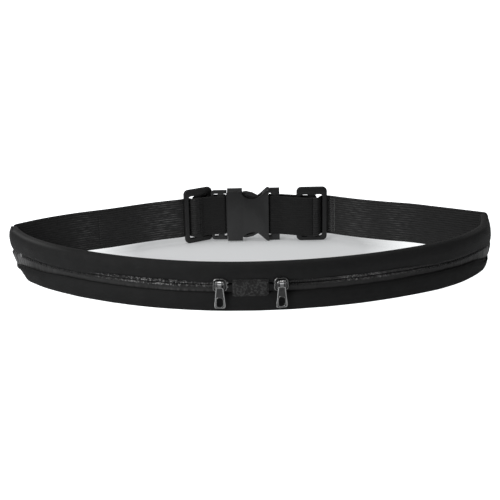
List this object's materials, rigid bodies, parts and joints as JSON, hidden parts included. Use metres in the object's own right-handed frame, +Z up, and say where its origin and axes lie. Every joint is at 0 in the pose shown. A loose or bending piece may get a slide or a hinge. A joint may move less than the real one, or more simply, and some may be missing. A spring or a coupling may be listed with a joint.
{
  "type": "money belt",
  "caption": "Slim waist belt: a long flat pouch with two zipped pockets on ribbed elastic webbing, joined at the back by a side-release buckle with a sliding tri-glide each side.",
  "frame": {"origin": "on the surface the belt stands on, below the middle of the loop", "axes": "+X along the loop's length to the right as seen from the pouch, +Y from the pouch to the buckle, +Z up"},
  "size_m": [0.4283, 0.1893, 0.053],
  "materials": {
    "pouch_cloth": "stretch nylon cloth with a faint sheen",
    "patch_cloth": "stippled knit",
    "lining_cloth": "thin plain weave",
    "webbing": "ribbed elastic webbing",
    "zip_tape": "woven tape with a sheen",
    "zip_coil": "glossy coil",
    "zip_metal": "satin black",
    "zip_pull": "satin dark grey with a bright rim",
    "buckle_plastic": "satin moulded"
  },
  "bodies": {
    "belt": {"back_panel": "pouch_cloth", "upper_front_panel": "pouch_cloth", "lower_front_panel": "pouch_cloth", "centre_patch": "patch_cloth", "socket_buckle": "buckle_plastic", "left_strap": "webbing", "left_pocket_lining": "lining_cloth", "left_end_binding": "pouch_cloth", "left_zip_upper_tape": "zip_tape", "left_zip_lower_tape": "zip_tape", "left_zip_upper_coil": "zip_coil", "left_zip_lower_coil": "zip_coil", "left_zip_stops": "zip_metal", "right_strap": "webbing", "right_pocket_lining": "lining_cloth", "right_end_binding": "pouch_cloth", "right_zip_upper_tape": "zip_tape", "right_zip_lower_tape": "zip_tape", "right_zip_upper_coil": "zip_coil", "right_zip_lower_coil": "zip_coil", "right_zip_stops": "zip_metal"},
    "plug": {"plug_buckle": "buckle_plastic"},
    "upper_latch_arm": {"upper_latch_arm": "buckle_plastic"},
    "lower_latch_arm": {"lower_latch_arm": "buckle_plastic"},
    "left_triglide": {"left_triglide": "buckle_plastic"},
    "right_triglide": {"right_triglide": "buckle_plastic"},
    "left_slider": {"left_zip_slider": "zip_metal"},
    "right_slider": {"right_zip_slider": "zip_metal"},
    "left_pull": {"left_zip_pull": "zip_pull"},
    "right_pull": {"right_zip_pull": "zip_pull"}
  },
  "joints": [
    {"name": "buckle_release", "type": "slide", "parent": "belt", "child": "plug", "axis": [-1, 0, 0], "range_m": [0, 0.045], "deforming": ["left_strap", "upper_latch_arm", "lower_latch_arm"]},
    {"name": "upper_latch_flex", "type": "hinge", "parent": "plug", "child": "upper_latch_arm", "pos_m": [-0.0178, 0.087, 0.0423], "axis": [0, 1, 0], "range_deg": [0, 5], "stiffness_Nm_per_rad": 0.5},
    {"name": "lower_latch_flex", "type": "hinge", "parent": "plug", "child": "lower_latch_arm", "pos_m": [-0.0178, 0.087, 0.0093], "axis": [0, -1, 0], "range_deg": [0, 5], "stiffness_Nm_per_rad": 0.5},
    {"name": "left_triglide_adjust", "type": "slide", "parent": "plug", "child": "left_triglide", "axis": [-0.9744, -0.225, 0], "range_m": [0, 0.04], "deforming": ["left_strap"]},
    {"name": "right_triglide_adjust", "type": "slide", "parent": "belt", "child": "right_triglide", "axis": [0.9397, -0.342, 0], "range_m": [0, 0.04], "deforming": ["right_strap"]},
    {"name": "left_zip_slide", "type": "hinge", "parent": "belt", "child": "left_slider", "pos_m": [0, 0.212, 0.0236], "axis": [0, 0, -1], "range_deg": [0, 25.5]},
    {"name": "left_pull_swing", "type": "hinge", "parent": "left_slider", "child": "left_pull", "pos_m": [-0.02505, -0.09157, 0.0262], "axis": [-0.9966, 0.0822, 0], "range_deg": [0, 150]},
    {"name": "right_zip_slide", "type": "hinge", "parent": "belt", "child": "right_slider", "pos_m": [0, 0.262, 0.0236], "axis": [0, 0, 1], "range_deg": [0, 20]},
    {"name": "right_pull_swing", "type": "hinge", "parent": "right_slider", "child": "right_pull", "pos_m": [0.025, -0.09172, 0.0262], "axis": [-0.9975, -0.0705, 0], "range_deg": [0, 150]}
  ]
}
